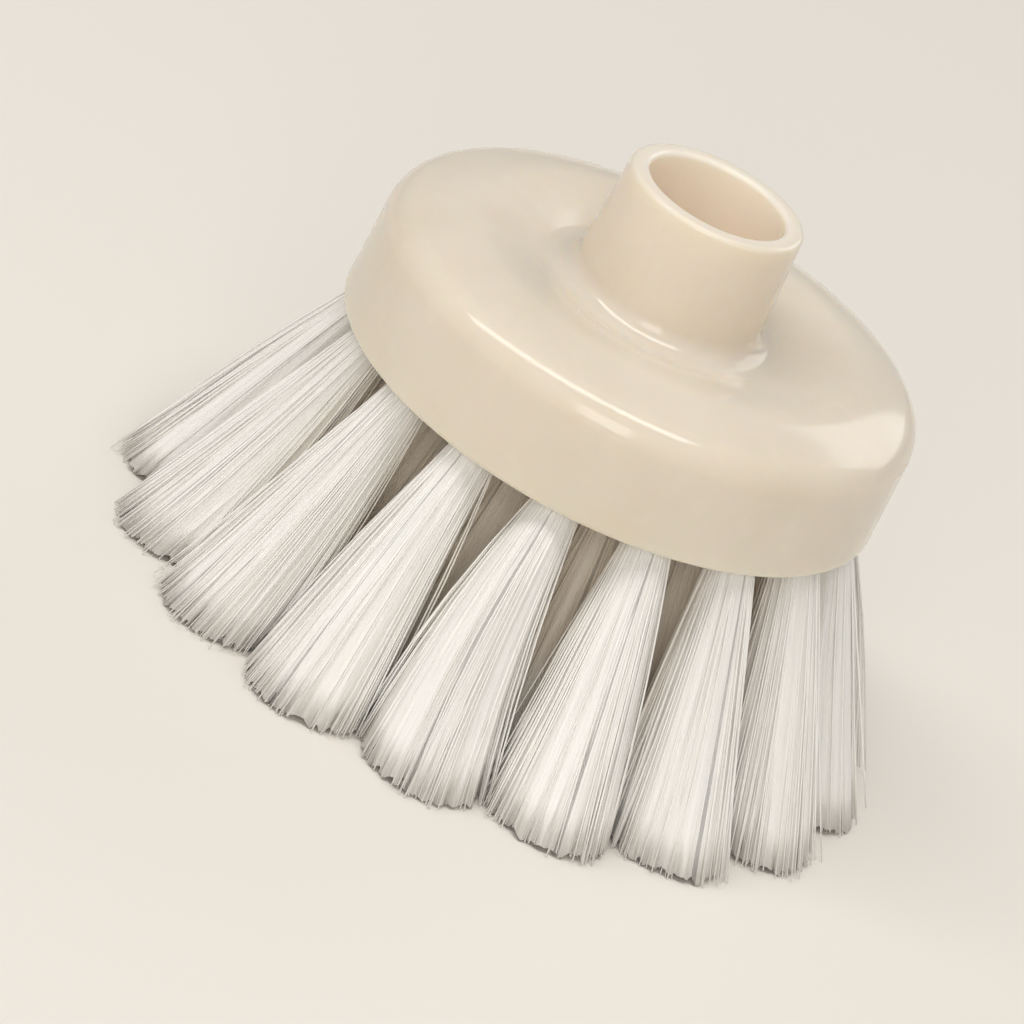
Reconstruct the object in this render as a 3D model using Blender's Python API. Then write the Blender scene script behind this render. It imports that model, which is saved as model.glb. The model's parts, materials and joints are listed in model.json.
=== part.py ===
"""Round brush head: a moulded plastic head with a handle socket, its bristle tufts and their anchor wires.

The head stands on its bristle tips, with the socket pointing up. Metres, +Z up, origin under the middle of the tips.
"""

import math

import bmesh
import bpy
from mathutils import Matrix, Vector

MM = 0.001

# Disc of the head, its heights measured up from the bristle face
HEAD_RADIUS = 27.5 * MM
WALL_DRAFT = 0.2 * MM
WALL_HEIGHT = 12.2 * MM
SHOULDER_ROUND = 3.0 * MM
FACE_EDGE_ROUND = 0.6 * MM
CREST_RISE = 1.2 * MM
BANK_WIDTH = 7.4 * MM
DISH_FLOOR_WIDTH = 0.6 * MM
DISH_DEPTH = 1.4 * MM
SHOULDER_TURN = 72
LAND_CURVE_POWER = 1.6

# Handle socket
SOCKET_HEIGHT = 10.8 * MM
SOCKET_MOUTH_RADIUS = 8.9 * MM
SOCKET_DRAFT = 0.6 * MM
SOCKET_ROOT_FLARE = 2.0 * MM
SOCKET_WALL = 1.9 * MM
MOUTH_ROUND = 0.5 * MM
BORE_DRAFT = 0.3 * MM
BORE_FLOOR = 2.0 * MM

# Tuft holes, blind, with plastic above them
HOLE_RADIUS = 2.3 * MM
HOLE_COVER = 4.0 * MM
FACE_MARGIN = 1.7 * MM
CLEARANCE = 0.3 * MM

# Tuft rings, from the edge inwards
OUTER_COUNT = 16
MIDDLE_COUNT = 10
INNER_COUNT = 3
MIDDLE_RING_SHARE = 0.62
INNER_RING_SHARE = 0.245
SPLAY = math.radians(19)

# Bristles
BRISTLE_HEIGHT = 27.0 * MM
TUFT_PROUD = 0.5 * MM
TIP_GAP = 3.0 * MM
STRAND_ROOT_RADIUS = 0.32 * MM
STRAND_TIP_RADIUS = 0.75 * MM
STRAND_EDGE_MARGIN = 0.6 * MM
STRAND_SIDES = 3
STRAND_RING_COUNTS = (1, 5, 10)
STRAND_RING_SHARES = (0, 0.5, 1)

# Anchor wires, flat, across each tuft's fold
ANCHOR_THICKNESS = 0.4 * MM
ANCHOR_HEIGHT = 2.0 * MM
ANCHOR_BITE = 0.4 * MM
FOLD_THICKNESS = 1.2 * MM

# Facets and cutters
HEAD_STEPS = 36
HOLE_SIDES = 8
PLUG_SIDES = 8
ROUND_STEPS = 3
CUT_OVERRUN = 2.0 * MM
MERGE_DISTANCE = 0.01 * MM
SHARP_ANGLE = math.radians(32)

# Outline of the head that follows from the sizes above
BORE_RADIUS = SOCKET_MOUTH_RADIUS - SOCKET_WALL
SOCKET_ROOT_RADIUS = SOCKET_MOUTH_RADIUS + SOCKET_DRAFT
FLARE_RADIUS = SOCKET_ROOT_RADIUS + SOCKET_ROOT_FLARE
DISH_RADIUS = FLARE_RADIUS + DISH_FLOOR_WIDTH
CREST_RADIUS = DISH_RADIUS + BANK_WIDTH
SHOULDER_RADIUS = HEAD_RADIUS - WALL_DRAFT - SHOULDER_ROUND
CREST_HEIGHT = WALL_HEIGHT + CREST_RISE
DISH_HEIGHT = CREST_HEIGHT - DISH_DEPTH
MOUTH_HEIGHT = CREST_HEIGHT + SOCKET_HEIGHT
HOLE_DEPTH = DISH_HEIGHT - HOLE_COVER
BORE_FLOOR_HEIGHT = HOLE_DEPTH + BORE_FLOOR

# Tuft places that follow from them
OUTER_RING_RADIUS = HEAD_RADIUS - FACE_MARGIN - HOLE_RADIUS / math.cos(SPLAY)
SPLAY_HEIGHT = OUTER_RING_RADIUS / math.tan(SPLAY)
OUTER_TIP_RADIUS = OUTER_RING_RADIUS * (1 + BRISTLE_HEIGHT / SPLAY_HEIGHT)
TIP_SPREAD = OUTER_TIP_RADIUS * math.sin(math.pi / OUTER_COUNT) - TIP_GAP / 2
PLUG_RADIUS = HOLE_RADIUS - CLEARANCE
PLUG_LENGTH = HOLE_DEPTH - CLEARANCE
ROOT_SPREAD = PLUG_RADIUS - STRAND_EDGE_MARGIN
ANCHOR_CENTRE = PLUG_LENGTH - FOLD_THICKNESS - CLEARANCE - ANCHOR_HEIGHT / 2

# Each ring's name, tufts, radius on the face, and the angle of its first tuft
RINGS = (
    ("outer", OUTER_COUNT, OUTER_RING_RADIUS, 0),
    ("middle", MIDDLE_COUNT, OUTER_RING_RADIUS * MIDDLE_RING_SHARE, 0),
    ("inner", INNER_COUNT, OUTER_RING_RADIUS * INNER_RING_SHARE, math.radians(-90)),
)


def clear_scene():
    for obj in list(bpy.data.objects):
        bpy.data.objects.remove(obj)


def make_material(name, colour, roughness, metallic=0.0):
    material = bpy.data.materials.new(name)
    material.use_nodes = True
    shader = material.node_tree.nodes["Principled BSDF"]
    shader.inputs["Base Color"].default_value = (*colour, 1)
    shader.inputs["Roughness"].default_value = roughness
    shader.inputs["Metallic"].default_value = metallic
    return material


def add_object(name, mesh, material=None, parent=None):
    obj = bpy.data.objects.new(name, mesh)
    bpy.context.scene.collection.objects.link(obj)
    if material:
        mesh.materials.clear()
        mesh.materials.append(material)
    obj.parent = parent
    return obj


def mesh_from(name, bm):
    mesh = bpy.data.meshes.new(name)
    bmesh.ops.recalc_face_normals(bm, faces=bm.faces)
    bm.to_mesh(mesh)
    bm.free()
    return mesh


def add_helper(name, bm):
    """A shape that only cuts or joins, and is never part of the brush."""
    helper = add_object(name, mesh_from(name, bm))
    helper.hide_render = True
    helper.display_type = "WIRE"
    return helper


def add_boolean(obj, helper, operation):
    modifier = obj.modifiers.new(helper.name, "BOOLEAN")
    modifier.operation = operation
    modifier.object = helper
    modifier.solver = "EXACT"


def arc(centre, radius, start, end):
    """Points of a round corner in the (radius, height) plane, from one angle in degrees to another."""
    angles = [math.radians(start + (end - start) * i / ROUND_STEPS) for i in range(ROUND_STEPS + 1)]
    return [(centre[0] + radius * math.cos(a), centre[1] + radius * math.sin(a)) for a in angles]


def fall(crest, end):
    """Points from a crest, where the profile is level, to an end, where it is steepest, with neither among them."""
    points = []
    for i in range(1, ROUND_STEPS):
        way = i / ROUND_STEPS
        drop = way**LAND_CURVE_POWER
        points.append((crest[0] + (end[0] - crest[0]) * way, crest[1] + (end[1] - crest[1]) * drop))
    return points


def head_profile():
    """Half section of the head as (radius, height above the bristle face), from the bore's floor to the face."""
    lip_height = MOUTH_HEIGHT - MOUTH_ROUND
    flare_centre = (FLARE_RADIUS, DISH_HEIGHT + SOCKET_ROOT_FLARE)
    dish_edge = (DISH_RADIUS, DISH_HEIGHT)
    crest = (CREST_RADIUS, CREST_HEIGHT)
    shoulder = arc((SHOULDER_RADIUS, WALL_HEIGHT - SHOULDER_ROUND), SHOULDER_ROUND, SHOULDER_TURN, 0)
    return [
        (BORE_RADIUS - BORE_DRAFT, BORE_FLOOR_HEIGHT),
        *arc((BORE_RADIUS + MOUTH_ROUND, lip_height), MOUTH_ROUND, 180, 90),
        *arc((SOCKET_MOUTH_RADIUS - MOUTH_ROUND, lip_height), MOUTH_ROUND, 90, 0),
        *arc(flare_centre, SOCKET_ROOT_FLARE, 180, 270),
        dish_edge,
        *reversed(fall(crest, dish_edge)),
        crest,
        *fall(crest, shoulder[0]),
        *shoulder,
        *arc((HEAD_RADIUS - FACE_EDGE_ROUND, FACE_EDGE_ROUND), FACE_EDGE_ROUND, 0, -90),
    ]


def turned_head():
    """The head's profile turned about Z, closed by the bore's floor and the bristle face."""
    bm = bmesh.new()
    corners = [bm.verts.new((radius, 0, BRISTLE_HEIGHT + height)) for radius, height in head_profile()]
    edges = [bm.edges.new(pair) for pair in zip(corners, corners[1:])]
    bmesh.ops.spin(bm, geom=corners + edges, axis=(0, 0, 1), cent=(0, 0, 0), angle=math.tau, steps=HEAD_STEPS)
    bmesh.ops.remove_doubles(bm, verts=bm.verts, dist=MERGE_DISTANCE)
    bmesh.ops.holes_fill(bm, edges=bm.edges, sides=HEAD_STEPS)
    mesh = mesh_from("brush_head", bm)
    mesh.shade_smooth()
    mesh.set_sharp_from_angle(angle=SHARP_ANGLE)
    return mesh


def ring_lean(radius):
    """The tufts fan out from one point on the axis, so each ring leans by its own radius."""
    return math.atan(radius / SPLAY_HEIGHT)


def tuft_frame(radius):
    """The frame of a tuft on +X: origin where its axis meets the face, +Z into the head, +Y along the ring."""
    return Matrix.Translation((radius, 0, BRISTLE_HEIGHT)) @ Matrix.Rotation(-ring_lean(radius), 4, "Y")


def ring_angles(count, first):
    return [first + math.tau * i / count for i in range(count)]


def add_cylinder(bm, frame, radius, low, high, sides):
    bmesh.ops.create_cone(
        bm,
        cap_ends=True,
        segments=sides,
        radius1=radius,
        radius2=radius,
        depth=high - low,
        matrix=frame @ Matrix.Translation((0, 0, (low + high) / 2)),
    )


def add_wire(bm, frame, clearance):
    """The anchor wire of a tuft, or its pocket where there is a clearance."""
    length = 2 * (HOLE_RADIUS + ANCHOR_BITE + clearance)
    size = (ANCHOR_THICKNESS + 2 * clearance, length, ANCHOR_HEIGHT + 2 * clearance)
    place = Matrix.Translation((0, 0, ANCHOR_CENTRE)) @ Matrix.Diagonal((*size, 1))
    bmesh.ops.create_cube(bm, size=1, matrix=frame @ place)


def tuft_frames():
    """The frame of every tuft, where it stands in its ring."""
    for _, count, radius, first in RINGS:
        for angle in ring_angles(count, first):
            yield Matrix.Rotation(angle, 4, "Z") @ tuft_frame(radius)


def hole_cutter():
    bm = bmesh.new()
    for frame in tuft_frames():
        add_cylinder(bm, frame, HOLE_RADIUS, -CUT_OVERRUN, HOLE_DEPTH, HOLE_SIDES)
    return add_helper("hole_cutter", bm)


def pocket_cutter():
    """The bites that the anchor wires' ends leave in the walls of the holes."""
    bm = bmesh.new()
    for frame in tuft_frames():
        add_wire(bm, frame, CLEARANCE)
    return add_helper("pocket_cutter", bm)


def make_head(material, parent):
    head = add_object("brush_head", turned_head(), material, parent)
    add_boolean(head, hole_cutter(), "DIFFERENCE")
    add_boolean(head, pocket_cutter(), "DIFFERENCE")


def strand_places():
    """Where a tuft's strands start and end across its frame, as pairs of vectors."""
    for count, share in zip(STRAND_RING_COUNTS, STRAND_RING_SHARES):
        for i in range(count):
            angle = math.tau * i / count
            outward = Vector((math.cos(angle), math.sin(angle), 0)) * share
            yield outward * ROOT_SPREAD, outward * TIP_SPREAD


def add_strand(bm, frame, root, tip):
    """One straight strand that grows wider to its tip and is cut off level at height zero."""
    start, end = [], []
    for i in range(STRAND_SIDES):
        angle = math.tau * i / STRAND_SIDES
        side = Vector((math.cos(angle), math.sin(angle), 0))
        high = frame @ (root + side * STRAND_ROOT_RADIUS)
        low = frame @ (tip + side * STRAND_TIP_RADIUS)
        start.append(bm.verts.new(high))
        end.append(bm.verts.new(high.lerp(low, high.z / (high.z - low.z))))
    bm.faces.new(start)
    bm.faces.new(reversed(end))
    for i in range(STRAND_SIDES):
        after = (i + 1) % STRAND_SIDES
        bm.faces.new((start[i], end[i], end[after], start[after]))


def strand_bundle(ring, radius):
    bm = bmesh.new()
    drop = Vector((0, 0, -BRISTLE_HEIGHT / math.cos(ring_lean(radius))))
    for root, tip in strand_places():
        add_strand(bm, tuft_frame(radius), root, tip + drop)
    return add_helper(f"{ring}_strands", bm)


def tuft_mesh(ring, radius):
    """A tuft on +X: its packed root, slotted for the anchor wire, with its fanned strands."""
    bm = bmesh.new()
    add_cylinder(bm, tuft_frame(radius), PLUG_RADIUS, -TUFT_PROUD, PLUG_LENGTH, PLUG_SIDES)
    plug = add_object(f"{ring}_plug", mesh_from(f"{ring}_plug", bm))
    slot = bmesh.new()
    add_wire(slot, tuft_frame(radius), CLEARANCE)
    strands, slot = strand_bundle(ring, radius), add_helper(f"{ring}_slot", slot)
    add_boolean(plug, strands, "UNION")
    add_boolean(plug, slot, "DIFFERENCE")
    graph = bpy.context.evaluated_depsgraph_get()
    mesh = bpy.data.meshes.new_from_object(plug.evaluated_get(graph))
    mesh.name = f"tuft_{ring}"
    for obj in (plug, strands, slot):
        bpy.data.objects.remove(obj)
    return mesh


def anchor_mesh(ring, radius):
    bm = bmesh.new()
    add_wire(bm, tuft_frame(radius), 0)
    return mesh_from(f"anchor_{ring}", bm)


def make_ring(ring, count, radius, first, filament, wire, parent):
    tuft = tuft_mesh(ring, radius)
    anchor = anchor_mesh(ring, radius)
    for number, angle in enumerate(ring_angles(count, first), 1):
        for name, mesh, material in (("tuft", tuft, filament), ("anchor", anchor, wire)):
            piece = add_object(f"{name}_{ring}_{number:02d}", mesh, material, parent)
            piece.rotation_euler.z = angle


def main():
    clear_scene()
    plastic = make_material("cream_plastic", (0.77, 0.65, 0.48), 0.32)
    filament = make_material("white_filament", (0.83, 0.81, 0.77), 0.5)
    wire = make_material("anchor_wire", (0.6, 0.58, 0.52), 0.4, 1.0)
    brush = bpy.data.objects.new("brush", None)
    bpy.context.scene.collection.objects.link(brush)
    make_head(plastic, brush)
    for ring, count, radius, first in RINGS:
        make_ring(ring, count, radius, first, filament, wire, brush)


main()
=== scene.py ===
"""Round brush head: a glossy ivory moulding with a socket, and flared tufts of white filament.

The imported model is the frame. The moulding and the tufts made here replace its nodes, and the
anchor wires stay.
"""

import json
import math
import random

import bmesh
import bpy
from mathutils import Matrix, Vector

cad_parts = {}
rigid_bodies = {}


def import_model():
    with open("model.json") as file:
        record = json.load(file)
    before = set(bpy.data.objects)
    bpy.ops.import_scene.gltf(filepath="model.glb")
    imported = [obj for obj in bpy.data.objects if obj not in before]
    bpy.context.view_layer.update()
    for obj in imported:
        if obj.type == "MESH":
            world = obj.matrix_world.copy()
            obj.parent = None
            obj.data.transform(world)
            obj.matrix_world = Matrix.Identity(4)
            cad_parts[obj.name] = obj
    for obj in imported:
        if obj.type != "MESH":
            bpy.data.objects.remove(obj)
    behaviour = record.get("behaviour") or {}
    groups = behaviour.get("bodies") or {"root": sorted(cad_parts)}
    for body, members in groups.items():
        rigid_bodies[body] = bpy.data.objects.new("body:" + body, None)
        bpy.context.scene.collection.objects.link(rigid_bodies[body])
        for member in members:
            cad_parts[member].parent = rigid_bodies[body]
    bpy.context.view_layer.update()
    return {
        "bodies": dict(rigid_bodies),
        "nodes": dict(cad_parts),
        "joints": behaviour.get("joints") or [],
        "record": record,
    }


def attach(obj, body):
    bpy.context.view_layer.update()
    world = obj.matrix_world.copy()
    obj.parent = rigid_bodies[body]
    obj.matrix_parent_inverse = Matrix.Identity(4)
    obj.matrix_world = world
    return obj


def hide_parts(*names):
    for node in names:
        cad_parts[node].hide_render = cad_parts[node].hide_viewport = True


MM = 0.001

# Moulded head, heights above the bristle face
HEAD_RADIUS = 27.5 * MM
SHOULDER = (27.3 * MM, 11.38 * MM)
SHOULDER_ROUND = 2.17 * MM
FACE_EDGE_ROUND = 0.6 * MM
LAND_END = (25.227 * MM, 12.053 * MM)
CREST = (19.5 * MM, 13.4 * MM)
DISH = (12.1 * MM, 12.0 * MM)
DISH_ROUND = 0.5 * MM
SOCKET_ROOT_RADIUS = 9.5 * MM
SOCKET_ROOT_ROUND = 2.0 * MM
SOCKET_MOUTH_RADIUS = 8.9 * MM
MOUTH_HEIGHT = 24.2 * MM
MOUTH_ROUND = 0.5 * MM
BORE_MOUTH_RADIUS = 7.0 * MM
BORE_FLOOR_RADIUS = 6.7 * MM
BORE_FLOOR_HEIGHT = 10.0 * MM
BORE_FLOOR_ROUND = 0.6 * MM
HEAD_SIDES = 128
LAND_STEPS = 9
LAND_CURVE_POWER = 1.6
ROUND_SEGMENTS = 8
RING_TOLERANCE = 0.01 * MM
SMOOTH_ANGLE = math.radians(28)

# Tuft holes, heights along the hole from the bristle face
HOLE_RADIUS = 2.3 * MM
HOLE_DEPTH = 8.0 * MM
HOLE_CHAMFER = 0.2 * MM
HOLE_SIDES = 32
CUT_OVERRUN = 0.5 * MM

# Rings of tufts: name, number, radius on the bristle face and angle of the first tuft
BRISTLE_HEIGHT = 27.0 * MM
SPLAY = math.radians(19)
OUTER_RING_RADIUS = 23.37 * MM
SPLAY_HEIGHT = OUTER_RING_RADIUS / math.tan(SPLAY)
MIDDLE_RING_SHARE = 0.62
INNER_RING_SHARE = 0.245
RINGS = (
    ("outer", 16, OUTER_RING_RADIUS, 0),
    ("middle", 10, OUTER_RING_RADIUS * MIDDLE_RING_SHARE, 0),
    ("inner", 3, OUTER_RING_RADIUS * INNER_RING_SHARE, math.radians(-90)),
)

# Filaments round the outside of a tuft, whole, and those inside it, of which only the ends show
OUTER_FILAMENTS = 210
OUTER_SHARES = (0.72, 1)
INNER_FILAMENTS = 420
INNER_SHARES = (0, 0.8)
FILAMENT_RADIUS = 0.1 * MM
FILAMENT_SIDES = 4
ROOT_DEPTHS = (7.4 * MM, 5.2 * MM, 3.4 * MM, 0)
LENGTH_SHARES = (0.1, 0.26, 0.45, 0.65, 0.84, 1)
END_LENGTH_SHARES = (0.68, 0.85, 1)
END_THINNING = 0.7
ANCHOR_DEPTH = 5.2 * MM
ANCHOR_ROOM = 0.45 * MM
PACKED_RADIUS = 2.14 * MM
TIP_RADII = (6.5 * MM, 7.1 * MM)
TIP_JITTER = 0.32 * MM
BOW = 0.28 * MM
TUFT_BOW = 0.4 * MM
TRIM_ROUGHNESS = 0.45 * MM
CLUMPS = 16
CLUMP_PULL = 0.28
STRAY_SHARE = 0.04
STRAY_REACH = 1.2
STRAY_TRIM = 3
GOLDEN_ANGLE = math.pi * (3 - math.sqrt(5))
DRAW_SEED = 7

# Packed middle of a tuft, whose ragged end lies among the tips
CORE_SIDES = 84
CORE_ROOT_DEPTH = 0.8 * MM
CORE_ROOT_RADIUS = 2.16 * MM
CORE_TIP_RADII = (5.95 * MM, 6.3 * MM)
CORE_RIDGE_SHARES = (0.91, 1)
CORE_LENGTH_SHARES = (0, 0.12, 0.3, 0.5, 0.7, 0.87, 1)
CORE_END_SHARES = (0.8, 0.6, 0.4, 0.2)
CORE_END_HEIGHTS = (0.15 * MM, 0.85 * MM)
CORE_HOLLOW = 0.75 * MM

# The fibres' pattern, whose coordinates each corner of a tuft carries: steps along a fibre, and
# the scale across the end of a packed middle
FIBRE_SEEDS = (0, 1000)
FILAMENT_GRAIN_STEP = 0.1
CORE_GRAIN_LENGTH = 0.6
END_GRAIN = 1300

# Ivory plastic: noises as scale per metre and detail, the ranges that they are read over, what
# they add to roughness, and colours
FLOW = (7, 3)
CLOUD = (60, 3)
MOTTLE = (420, 3)
GRAIN = (1500, 2)
HAZE = (160, 4)
PEEL = (500, 2)
WEAR = (1, 2)
SCRATCH_STRETCH = (1900, 60, 90)
SCRATCH_RANGE = (0.69, 0.75)
SCUFF_STRETCH = (80, 1700, 140)
SCUFF_RANGE = (0.7, 0.76)
FLOW_SHARE = 0.15
SHADE_RANGE = (0.35, 0.65)
MOTTLE_RANGE = (0.55, 0.75)
MOTTLE_SHARE = 0.15
IVORY_ROUGHNESS = 0.07
HAZE_ROUGHNESS = 0.08
GRAIN_ROUGHNESS = 0.04
WORN_ROUGHNESS = 0.1
IVORY_SHADES = ((0.79, 0.715, 0.605), (0.745, 0.665, 0.545))
IVORY_MOTTLE = (0.85, 0.79, 0.69)
IVORY_RELIEF = 0.014 * MM
PEEL_SHARE = 0.7
GRAIN_SHARE = 0.15
WORN_SHARE = 0.06

# Painted glow: the socket's bore and rim are painted lighter, standing in for light that shines
# through the socket's wall, from one radius to another and from one height above the floor to
# another
GLOW_RADII = (7.2 * MM, 9.2 * MM)
GLOW_HEIGHTS = (36.5 * MM, 40.0 * MM)
IVORY_PAINTED_GLOW = (0.94, 0.82, 0.715)

# White filament: noises as scale in the fibres' pattern and detail, ranges, roughness and colours
TONE = (0.9, 1)
TONE_RANGE = (0.3, 0.7)
STREAK = (3.2, 2)
STREAK_RANGE = (0.35, 0.6)
STREAK_SHARE = 0.25
FIBRE_ROUGHNESS = 0.34
STREAK_ROUGHNESS = 0.2
WHITE_SHADES = ((0.935, 0.91, 0.865), (0.985, 0.975, 0.95))
WHITE_STREAK = (0.88, 0.83, 0.75)
FIBRE_RELIEF = 0.12 * MM

# Painted warm bounce light: the filaments are painted warmer far inside the brush, where light
# bounces among them, by their distance from a cone between the rings and by their height above the
# floor
BOUNCE_CONE_SLOPE = 0.31
BOUNCE_DISTANCES = (-2.5 * MM, 4 * MM)
BOUNCE_HEIGHTS = (2 * MM, 12 * MM)
WHITE_PAINTED_BOUNCE = (1.0, 0.9, 0.76)

# Anchor wire
DRAWN = (2500, 2)
DRAWN_STRETCH = (1, 1, 0.1)
STEEL_ROUGHNESS = 0.28
DRAWN_ROUGHNESS = 0.2
STEEL_SHADES = ((0.62, 0.58, 0.5), (0.72, 0.7, 0.66))

# View and light
CAMERA_TILT = math.radians(24.2)
CAMERA_ROLL = math.radians(27.6)
CAMERA_LENS = 400
CAMERA_DISTANCE = 1080 * MM
VIEW_CENTRE = (2.35 * MM, 11.95 * MM)
FLOOR_SIZE = 4.0
FLOOR_COLOUR = (0.84, 0.8, 0.74, 1)
WORLD_COLOUR = (1.0, 0.985, 0.96, 1)
WORLD_STRENGTH = 0.42

# Lamps: name, place, aim and size in metres, watts and colour
LAMPS = (
    ("key", (-0.34, -0.26, 1.0), (-0.34, 0, 0.03), (1.5, 0.24), 6.8, (1.0, 0.985, 0.96)),
    ("front", (0.02, -1.0, 0.46), (0, 0, 0.02), (0.42, 0.6), 2.65, (1.0, 0.985, 0.96)),
    ("rim", (0.5, 0.8, 0.5), (0, 0, 0.03), (0.6, 0.5), 1.3, (1.0, 0.99, 0.97)),
)


# Shader expressions

class Wire:
    """A node's output that Python expressions can build on with Math nodes."""

    def __init__(self, finish, socket):
        self.finish = finish
        self.socket = socket

    def maths(self, operation, first, second):
        return self.finish.node("ShaderNodeMath", {"operation": operation}, {0: first, 1: second})

    def __add__(self, other):
        return self.maths("ADD", self, other)

    def __radd__(self, other):
        return self.maths("ADD", other, self)

    def __sub__(self, other):
        return self.maths("SUBTRACT", self, other)

    def __mul__(self, other):
        return self.maths("MULTIPLY", self, other)

    def __rmul__(self, other):
        return self.maths("MULTIPLY", other, self)


class Finish:
    """A material: a Principled shader with constant settings, and nodes for what varies on it."""

    def __init__(self, name, settings):
        self.material = bpy.data.materials.new(name)
        self.material.use_nodes = True
        self.tree = self.material.node_tree
        self.shader = self.tree.nodes["Principled BSDF"]
        for socket, value in settings.items():
            self.shader.inputs[socket].default_value = value
        self.position = self.node("ShaderNodeTexCoord", output="Object")

    def node(self, kind, settings=None, inputs=None, output=0):
        """Adds a node, gives it its settings, then the values or wires of its inputs."""
        made = self.tree.nodes.new(kind)
        for name, value in (settings or {}).items():
            setattr(made, name, value)
        for name, value in (inputs or {}).items():
            self.feed(made.inputs[name], value)
        return Wire(self, made.outputs[output])

    def feed(self, socket, value):
        if isinstance(value, Wire):
            self.tree.links.new(value.socket, socket)
        else:
            socket.default_value = value

    def vector(self, operation, *inputs, output=0):
        settings = {"operation": operation}
        return self.node("ShaderNodeVectorMath", settings, dict(enumerate(inputs)), output)

    def noise(self, scale, detail, position=None):
        """Noise about 0.5 whose bumps are about one over its scale wide, in metres."""
        inputs = {"Vector": position or self.position, "Scale": scale, "Detail": detail}
        return self.node("ShaderNodeTexNoise", {}, inputs)

    def across(self):
        """The position without its height."""
        return self.vector("MULTIPLY", self.position, (1, 1, 0))

    def reach(self):
        """The distance from the head's axis."""
        return self.vector("LENGTH", self.across(), output="Value")

    def height(self):
        return self.node("ShaderNodeSeparateXYZ", {}, {0: self.position}, output="Z")

    def stretched(self, scale):
        """The position, drawn out along the axes that have a small scale."""
        return self.node("ShaderNodeMapping", {}, {"Vector": self.position, "Scale": scale})

    def mix(self, share, first, second):
        inputs = {"Factor": share, 6: first, 7: second}
        return self.node("ShaderNodeMix", {"data_type": "RGBA"}, inputs, output=2)

    def blend(self, share, first, second):
        """Two colours, from the first to the second by a share."""
        return self.mix(share, (*first, 1), (*second, 1))

    def tint(self, share, colour, over):
        """A colour laid over a wire of colours by a share."""
        return self.mix(share, over, (*colour, 1))

    def span(self, wire, low, high, to_low=0, to_high=1):
        """The wire's range from low to high, mapped to another and held there."""
        inputs = {"Value": wire, "From Min": low, "From Max": high}
        inputs |= {"To Min": to_low, "To Max": to_high}
        return self.node("ShaderNodeMapRange", {"clamp": True}, inputs)

    def bump(self, height, depth):
        """Relief from a height of 0 to 1, in metres of depth."""
        inputs = {"Height": height, "Strength": 1.0, "Distance": depth}
        return self.node("ShaderNodeBump", {}, inputs)

    def finished(self, colour, roughness, normal=None):
        """The material, with what varies fed to its shader."""
        self.feed(self.shader.inputs["Base Color"], colour)
        self.feed(self.shader.inputs["Roughness"], roughness)
        if normal:
            self.feed(self.shader.inputs["Normal"], normal)
        return self.material


def ivory_plastic():
    finish = Finish(
        "ivory_plastic",
        {
            "IOR": 1.49,
            "Subsurface Weight": 0.7,
            "Subsurface Radius": (1.0, 0.72, 0.45),
            "Subsurface Scale": 3.2 * MM,
        },
    )
    flow = finish.noise(*FLOW, finish.vector("NORMALIZE", finish.across()))
    cloud = finish.noise(*CLOUD)
    mottle = finish.noise(*MOTTLE)
    scratch = finish.span(finish.noise(*WEAR, finish.stretched(SCRATCH_STRETCH)), *SCRATCH_RANGE)
    scuff = finish.span(finish.noise(*WEAR, finish.stretched(SCUFF_STRETCH)), *SCUFF_RANGE)
    grain = finish.noise(*GRAIN)
    haze = finish.noise(*HAZE)
    peel = finish.noise(*PEEL)
    shade = finish.span((1 - FLOW_SHARE) * cloud + FLOW_SHARE * flow, *SHADE_RANGE)
    colour = finish.blend(shade, *IVORY_SHADES)
    colour = finish.tint(finish.span(mottle, *MOTTLE_RANGE, 0, MOTTLE_SHARE), IVORY_MOTTLE, colour)
    # Painted glow: the bore and rim are painted lighter, for light shining through the socket's
    # wall
    glow_inside = finish.span(finish.reach(), *GLOW_RADII, 1, 0)
    painted_glow = glow_inside * finish.span(finish.height(), *GLOW_HEIGHTS)
    colour = finish.tint(painted_glow, IVORY_PAINTED_GLOW, colour)
    worn = scratch + scuff
    roughness = (
        IVORY_ROUGHNESS + HAZE_ROUGHNESS * haze + GRAIN_ROUGHNESS * grain + WORN_ROUGHNESS * worn
    )
    relief = PEEL_SHARE * peel + GRAIN_SHARE * grain - WORN_SHARE * worn
    return finish.finished(colour, roughness, finish.bump(relief, IVORY_RELIEF))


def white_filament():
    finish = Finish("white_filament", {"IOR": 1.5})
    fibre = finish.node("ShaderNodeAttribute", {"attribute_name": "fibre"}, output="Vector")
    tone = finish.noise(*TONE, fibre)
    streak = finish.noise(*STREAK, fibre)
    colour = finish.blend(finish.span(tone, *TONE_RANGE), *WHITE_SHADES)
    colour = finish.tint(finish.span(streak, *STREAK_RANGE, STREAK_SHARE, 0), WHITE_STREAK, colour)
    # Painted warm bounce light: filaments far inside the brush are painted warmer, for light
    # bouncing among them
    apex_reach = BOUNCE_CONE_SLOPE * (BRISTLE_HEIGHT + SPLAY_HEIGHT)
    outside = finish.reach() + BOUNCE_CONE_SLOPE * finish.height() - apex_reach
    inward = finish.span(outside, *BOUNCE_DISTANCES, 1, 0)
    painted_bounce = inward * finish.span(finish.height(), *BOUNCE_HEIGHTS)
    colour = finish.tint(painted_bounce, WHITE_PAINTED_BOUNCE, colour)
    roughness = FIBRE_ROUGHNESS + STREAK_ROUGHNESS * streak
    return finish.finished(colour, roughness, finish.bump(streak, FIBRE_RELIEF))


def anchor_wire():
    finish = Finish("anchor_wire", {"Metallic": 1.0})
    drawn = finish.noise(*DRAWN, finish.stretched(DRAWN_STRETCH))
    colour = finish.blend(drawn, *STEEL_SHADES)
    return finish.finished(colour, STEEL_ROUGHNESS + DRAWN_ROUGHNESS * drawn)


# Moulded head

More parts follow.
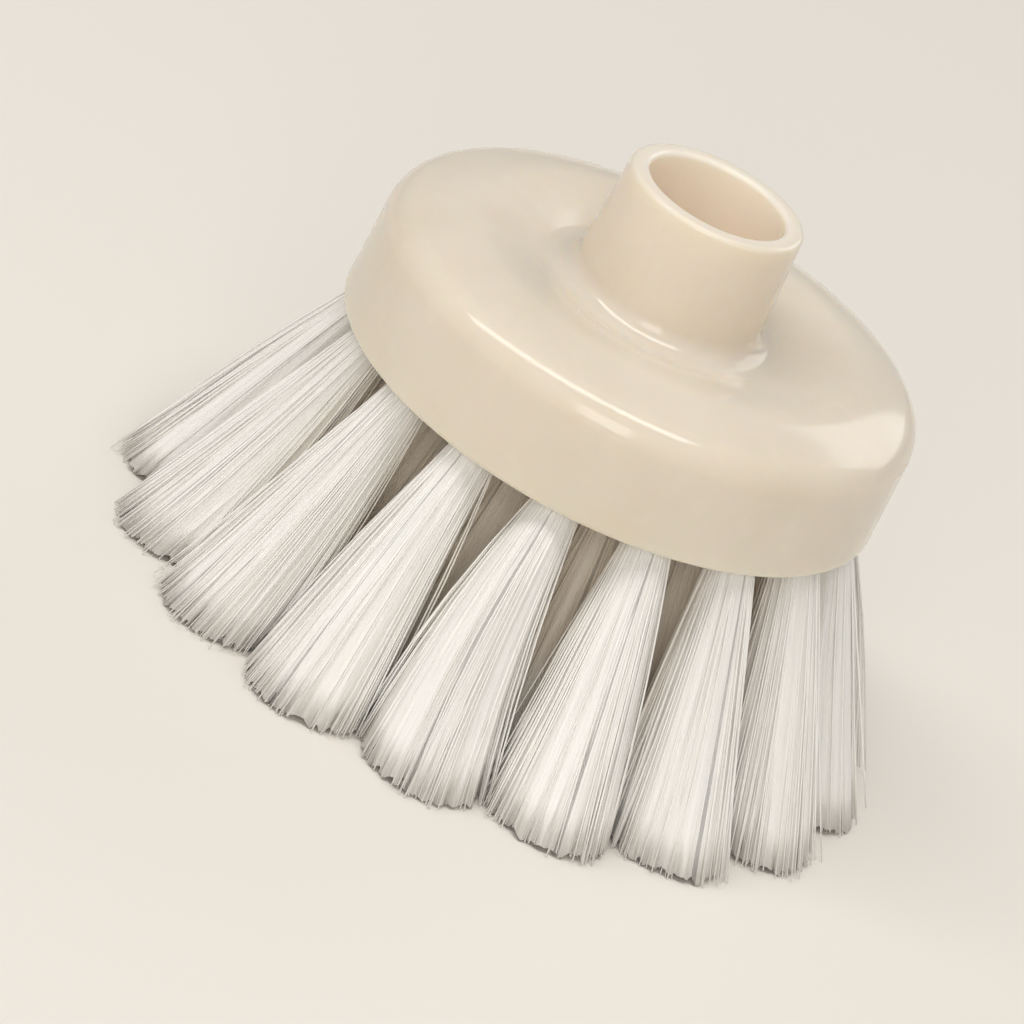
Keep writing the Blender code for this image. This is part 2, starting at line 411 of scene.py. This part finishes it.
def fall(end):
    """Rings of the land between its crest, where it is level, and an end, where it is steepest."""
    rings = []
    for i in range(1, LAND_STEPS):
        way = i / LAND_STEPS
        drop = way**LAND_CURVE_POWER
        rings.append((CREST[0] + (end[0] - CREST[0]) * way, CREST[1] + (end[1] - CREST[1]) * drop))
    return rings


def head_rings():
    """The head's profile: up from the bristle face, over the land and socket, and down the bore."""
    return [
        (HEAD_RADIUS, 0),
        SHOULDER,
        LAND_END,
        *reversed(fall(LAND_END)),
        CREST,
        *fall(DISH),
        DISH,
        (SOCKET_ROOT_RADIUS, DISH[1]),
        (SOCKET_MOUTH_RADIUS, MOUTH_HEIGHT),
        (BORE_MOUTH_RADIUS, MOUTH_HEIGHT),
        (BORE_FLOOR_RADIUS, BORE_FLOOR_HEIGHT),
    ]


def edit_all():
    bpy.ops.object.mode_set(mode="EDIT")
    bpy.ops.mesh.select_all(action="SELECT")


def start_disc(name, radius, height, sides):
    """A flat disc at a height on the Z axis, in edit mode with all of it selected."""
    bpy.ops.object.select_all(action="DESELECT")
    bpy.ops.mesh.primitive_circle_add(
        vertices=sides, radius=radius, fill_type="NGON", location=(0, 0, height)
    )
    piece = bpy.context.object
    piece.name = piece.data.name = name
    bpy.ops.object.transform_apply()
    edit_all()
    return piece


def grow(rings):
    """Extrudes the selected face through the rings after the first, as (radius, height)."""
    for (radius, height), (next_radius, next_height) in zip(rings, rings[1:]):
        rise = (0, 0, next_height - height)
        bpy.ops.mesh.extrude_region_move(TRANSFORM_OT_translate={"value": rise})
        share = next_radius / radius
        bpy.ops.transform.resize(value=(share, share, 1), center_override=(0, 0, next_height))


def round_ring(piece, radius, height, width):
    """Bevels the ring of edges at a radius and height."""
    bpy.ops.mesh.select_all(action="DESELECT")
    shape = bmesh.from_edit_mesh(piece.data)
    for edge in shape.edges:
        offsets = [(vert.co.xy.length - radius, vert.co.z - height) for vert in edge.verts]
        edge.select_set(all(max(abs(out), abs(up)) < RING_TOLERANCE for out, up in offsets))
    bmesh.update_edit_mesh(piece.data)
    bpy.ops.mesh.bevel(offset=width, segments=ROUND_SEGMENTS, affect="EDGES")


def apply_modifier(piece, kind, **settings):
    modifier = piece.modifiers.new(kind, kind)
    for name, value in settings.items():
        setattr(modifier, name, value)
    bpy.context.view_layer.objects.active = piece
    bpy.ops.object.modifier_apply(modifier=modifier.name)


def smooth_by_angle(piece):
    bpy.ops.object.select_all(action="DESELECT")
    piece.select_set(True)
    bpy.context.view_layer.objects.active = piece
    bpy.ops.object.shade_smooth_by_angle(angle=SMOOTH_ANGLE)


def ring_lean(radius):
    return math.atan(radius / SPLAY_HEIGHT)


def tuft_frames():
    """Each tuft's name and frame: origin on the face, +Z into the head and +Y along the ring."""
    for ring, count, radius, first in RINGS:
        lean = Matrix.Rotation(-ring_lean(radius), 4, "Y")
        place = Matrix.Translation((radius, 0, BRISTLE_HEIGHT)) @ lean
        for i in range(count):
            turn = Matrix.Rotation(first + math.tau * i / count, 4, "Z")
            yield f"{ring}_{i + 1:02d}", turn @ place


def hole_cutter():
    """Every tuft hole as one cutter: a blind bore whose mouth widens to a chamfer."""
    mouth = HOLE_RADIUS + HOLE_CHAMFER + CUT_OVERRUN
    rings = [(mouth, -CUT_OVERRUN), (HOLE_RADIUS, HOLE_CHAMFER), (HOLE_RADIUS, HOLE_DEPTH)]
    drill = start_disc("drill", mouth, -CUT_OVERRUN, HOLE_SIDES)
    grow(rings)
    bpy.ops.object.mode_set(mode="OBJECT")
    cutters = []
    for name, frame in tuft_frames():
        cutter = bpy.data.objects.new(f"drill_{name}", drill.data.copy())
        bpy.context.scene.collection.objects.link(cutter)
        cutter.data.transform(frame)
        cutters.append(cutter)
    bpy.ops.object.select_all(action="DESELECT")
    for cutter in cutters:
        cutter.select_set(True)
    bpy.context.view_layer.objects.active = cutters[0]
    bpy.ops.object.join()
    bpy.data.objects.remove(drill)
    return cutters[0]


def moulded_head():
    rings = [(radius, BRISTLE_HEIGHT + height) for radius, height in head_rings()]
    head = start_disc("moulded_head", *rings[0], HEAD_SIDES)
    grow(rings)
    bpy.ops.mesh.select_mode(type="EDGE")
    for radius, height, width in (
        (HEAD_RADIUS, 0, FACE_EDGE_ROUND),
        (*SHOULDER, SHOULDER_ROUND),
        (*DISH, DISH_ROUND),
        (SOCKET_ROOT_RADIUS, DISH[1], SOCKET_ROOT_ROUND),
        (SOCKET_MOUTH_RADIUS, MOUTH_HEIGHT, MOUTH_ROUND),
        (BORE_MOUTH_RADIUS, MOUTH_HEIGHT, MOUTH_ROUND),
        (BORE_FLOOR_RADIUS, BORE_FLOOR_HEIGHT, BORE_FLOOR_ROUND),
    ):
        round_ring(head, radius, BRISTLE_HEIGHT + height, width)
    bpy.ops.mesh.select_all(action="SELECT")
    bpy.ops.mesh.normals_make_consistent(inside=False)
    bpy.ops.object.mode_set(mode="OBJECT")
    cutter = hole_cutter()
    apply_modifier(head, "BOOLEAN", operation="DIFFERENCE", object=cutter, solver="EXACT")
    bpy.data.objects.remove(cutter)
    smooth_by_angle(head)
    apply_modifier(head, "WEIGHTED_NORMAL", keep_sharp=True)
    return head


# Tufts

def pattern_of(piece):
    """Closes a form that is in edit mode, takes its corners and faces, and removes it."""
    bpy.ops.mesh.select_all(action="SELECT")
    bpy.ops.mesh.normals_make_consistent(inside=False)
    bpy.ops.object.mode_set(mode="OBJECT")
    corners = [vert.co.copy() for vert in piece.data.vertices]
    faces = [tuple(face.vertices) for face in piece.data.polygons]
    bpy.data.objects.remove(piece)
    return corners, faces


def filament_pattern(rings):
    """One filament as a square wire along Z, with a ring of corners at each whole number."""
    wire = start_disc("filament", 1, 0, FILAMENT_SIDES)
    grow([(1, ring) for ring in range(rings)])
    return pattern_of(wire)


def core_pattern():
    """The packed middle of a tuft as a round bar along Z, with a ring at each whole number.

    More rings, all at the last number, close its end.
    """
    core = start_disc("core", 1, 0, CORE_SIDES)
    last = len(CORE_LENGTH_SHARES)
    grow([(1, ring) for ring in range(last + 1)] + [(share, last) for share in CORE_END_SHARES])
    bpy.ops.mesh.merge(type="CENTER")
    return pattern_of(core)


def polar(radius, angle):
    return Vector((radius * math.cos(angle), radius * math.sin(angle), 0))


def oval(radii, share, angle):
    """A place in a tuft's end, which is wider along the ring than across it."""
    return Vector((radii[0] * share * math.cos(angle), radii[1] * share * math.sin(angle), 0))


def trimmed(root, tip, frame, height):
    """The tip moved along its filament until it lies at a height above the floor."""
    top, low = (frame @ root).z, (frame @ tip).z
    return root + (tip - root) * ((top - height) / (top - low))


def clump_centres(draw):
    """Where the tips of a tuft gather, across its frame."""
    return [
        oval(TIP_RADII, math.sqrt(draw.random()), draw.uniform(0, math.tau))
        for _ in range(CLUMPS)
    ]


def filament_line(share, angle, frame, lean, clumps, draw):
    """A filament's root in the face's plane and its trimmed tip, in its tuft's frame."""
    stray = draw.random() < STRAY_SHARE
    root = polar(PACKED_RADIUS * share, angle)
    tip = oval(TIP_RADII, share * (draw.uniform(1, STRAY_REACH) if stray else 1), angle)
    if not stray:
        tip = tip.lerp(min(clumps, key=lambda centre: (centre - tip).length), CLUMP_PULL)
    tip += polar(abs(draw.gauss(0, TIP_JITTER)), draw.uniform(0, math.tau))
    tip += Vector((0, 0, -BRISTLE_HEIGHT / math.cos(lean)))
    trim = abs(draw.gauss(0, TRIM_ROUGHNESS)) * (STRAY_TRIM if stray else 1)
    return root, trimmed(root, tip, frame, trim)


def bowed(root, tip, bow, shares):
    return [root.lerp(tip, along) + bow * math.sin(math.pi * along) for along in shares]


def root_path(root):
    """The part of a filament in its hole, beside the anchor wire."""
    for depth in ROOT_DEPTHS:
        room = ANCHOR_ROOM if depth == ANCHOR_DEPTH else 0
        yield Vector((math.copysign(max(abs(root.x), room), root.x), root.y, depth))


def core_places(pattern, frame, lean, tuft_bow, draw):
    """Where the corners of a packed middle lie, each with its place in the fibres' pattern."""
    drop = Vector((0, 0, -BRISTLE_HEIGHT / math.cos(lean)))
    seed = draw.uniform(*FIBRE_SEEDS)
    ridges = [draw.uniform(*CORE_RIDGE_SHARES) for _ in range(CORE_SIDES)]
    ends = {}
    last = len(CORE_LENGTH_SHARES)
    for corner in pattern[0]:
        share = corner.xy.length
        end_ring = round(share, 2)
        inside = end_ring < 1
        column = round(math.atan2(corner.y, corner.x) / math.tau * CORE_SIDES) % CORE_SIDES
        angle = math.tau * column / CORE_SIDES
        ring = round(corner.z)
        root = polar(CORE_ROOT_RADIUS * share, angle)
        tip = oval(CORE_TIP_RADII, share * ridges[column], angle) + drop
        height = ends.setdefault((column, end_ring), draw.uniform(*CORE_END_HEIGHTS))
        end = trimmed(root, tip, frame, height + CORE_HOLLOW if inside else height)
        if ring == 0:
            place = root + Vector((0, 0, CORE_ROOT_DEPTH))
            along = 0
        else:
            along = CORE_LENGTH_SHARES[ring - 1] if ring < last else 1
            place = root.lerp(end, along) + tuft_bow * math.sin(math.pi * along)
        if inside:
            fibre = (seed + tip.x * END_GRAIN, tip.y * END_GRAIN, seed)
        else:
            fibre = (seed + column, along * CORE_GRAIN_LENGTH, seed)
        yield frame @ place, fibre


def spiral(count, shares):
    """Evenly spread places between two shares of a round area's radius, as share and angle."""
    inner, outer = shares[0] ** 2, shares[1] ** 2
    for i in range(count):
        yield math.sqrt(inner + (outer - inner) * (i + 0.5) / count), i * GOLDEN_ANGLE


def tuft(name, frame, lean, patterns, draw):
    """A tuft of filaments packed in its hole and flared to its trimmed tips."""
    whole, end, core = patterns
    tuft_bow = polar(abs(draw.gauss(0, TUFT_BOW)), draw.uniform(0, math.tau))
    clumps = clump_centres(draw)
    places = list(core_places(core, frame, lean, tuft_bow, draw))
    points = [point for point, _ in places]
    fibres = [fibre for _, fibre in places]
    polygons = list(core[1])

    def add_filament(pattern, path):
        start, seed, last = len(points), draw.uniform(*FIBRE_SEEDS), len(path) - 1
        for corner in pattern[0]:
            ring = round(corner.z)
            radius = FILAMENT_RADIUS * (END_THINNING if ring == last else 1)
            points.append(frame @ (path[ring] + Vector((corner.x, corner.y, 0)) * radius))
            fibres.append((seed, ring * FILAMENT_GRAIN_STEP, seed))
        polygons.extend(tuple(start + corner for corner in face) for face in pattern[1])

    for share, angle in spiral(OUTER_FILAMENTS, OUTER_SHARES):
        root, tip = filament_line(share, angle, frame, lean, clumps, draw)
        bow = tuft_bow + polar(draw.gauss(0, BOW), draw.uniform(0, math.tau))
        add_filament(whole, [*root_path(root), *bowed(root, tip, bow, LENGTH_SHARES)])
    for share, angle in spiral(INNER_FILAMENTS, INNER_SHARES):
        root, tip = filament_line(share, angle, frame, lean, clumps, draw)
        add_filament(end, bowed(root, tip, tuft_bow, END_LENGTH_SHARES))
    mesh = bpy.data.meshes.new(name)
    mesh.from_pydata(points, [], polygons)
    values = [number for fibre in fibres for number in fibre]
    mesh.attributes.new("fibre", "FLOAT_VECTOR", "POINT").data.foreach_set("vector", values)
    mesh.shade_smooth()
    piece = bpy.data.objects.new(name, mesh)
    bpy.context.scene.collection.objects.link(piece)
    return piece


# Studio

def area_light(name, place, aim, size, power, colour):
    light = bpy.data.lights.new(name, "AREA")
    light.shape = "RECTANGLE"
    light.size, light.size_y = size
    light.energy = power
    light.color = colour
    lamp = bpy.data.objects.new(name, light)
    bpy.context.scene.collection.objects.link(lamp)
    lamp.location = place
    lamp.rotation_euler = (Vector(aim) - Vector(place)).to_track_quat("-Z", "Y").to_euler()


def floor():
    bpy.ops.object.select_all(action="DESELECT")
    bpy.ops.mesh.primitive_plane_add(size=FLOOR_SIZE, location=(0, 0, 0))
    ground = bpy.context.object
    ground.name = "floor"
    paper = {"Base Color": FLOOR_COLOUR, "Roughness": 0.9, "Specular IOR Level": 0.1}
    ground.data.materials.append(Finish("floor_paper", paper).material)


def camera():
    data = bpy.data.cameras.new("camera")
    data.lens = CAMERA_LENS
    eye = bpy.data.objects.new("camera", data)
    bpy.context.scene.collection.objects.link(eye)
    turn = Matrix.Rotation(math.pi / 2 - CAMERA_TILT, 4, "X") @ Matrix.Rotation(CAMERA_ROLL, 4, "Z")
    back = Matrix.Translation((*VIEW_CENTRE, CAMERA_DISTANCE))
    eye.matrix_world = turn @ back
    bpy.context.scene.camera = eye


def studio():
    world = bpy.data.worlds.new("studio")
    world.use_nodes = True
    background = world.node_tree.nodes["Background"].inputs
    background["Color"].default_value = WORLD_COLOUR
    background["Strength"].default_value = WORLD_STRENGTH
    bpy.context.scene.world = world
    for lamp in LAMPS:
        area_light(*lamp)
    floor()
    camera()


def main():
    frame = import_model()
    bpy.context.scene.view_settings.view_transform = "Standard"
    studio()
    head = moulded_head()
    head.data.materials.clear()
    head.data.materials.append(ivory_plastic())
    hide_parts("brush_head")
    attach(head, "root")
    white = white_filament()
    whole = filament_pattern(len(ROOT_DEPTHS) + len(LENGTH_SHARES))
    patterns = whole, filament_pattern(len(END_LENGTH_SHARES)), core_pattern()
    draw = random.Random(DRAW_SEED)
    for name, place in tuft_frames():
        lean = place.to_quaternion().to_matrix().col[2].angle(Vector((0, 0, 1)))
        bundle = tuft(f"bristles_{name}", place, lean, patterns, draw)
        bundle.data.materials.append(white)
        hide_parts(f"tuft_{name}")
        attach(bundle, "root")
    steel = anchor_wire()
    for name, node in frame["nodes"].items():
        if name.startswith("anchor_"):
            node.data.materials.clear()
            node.data.materials.append(steel)


main()
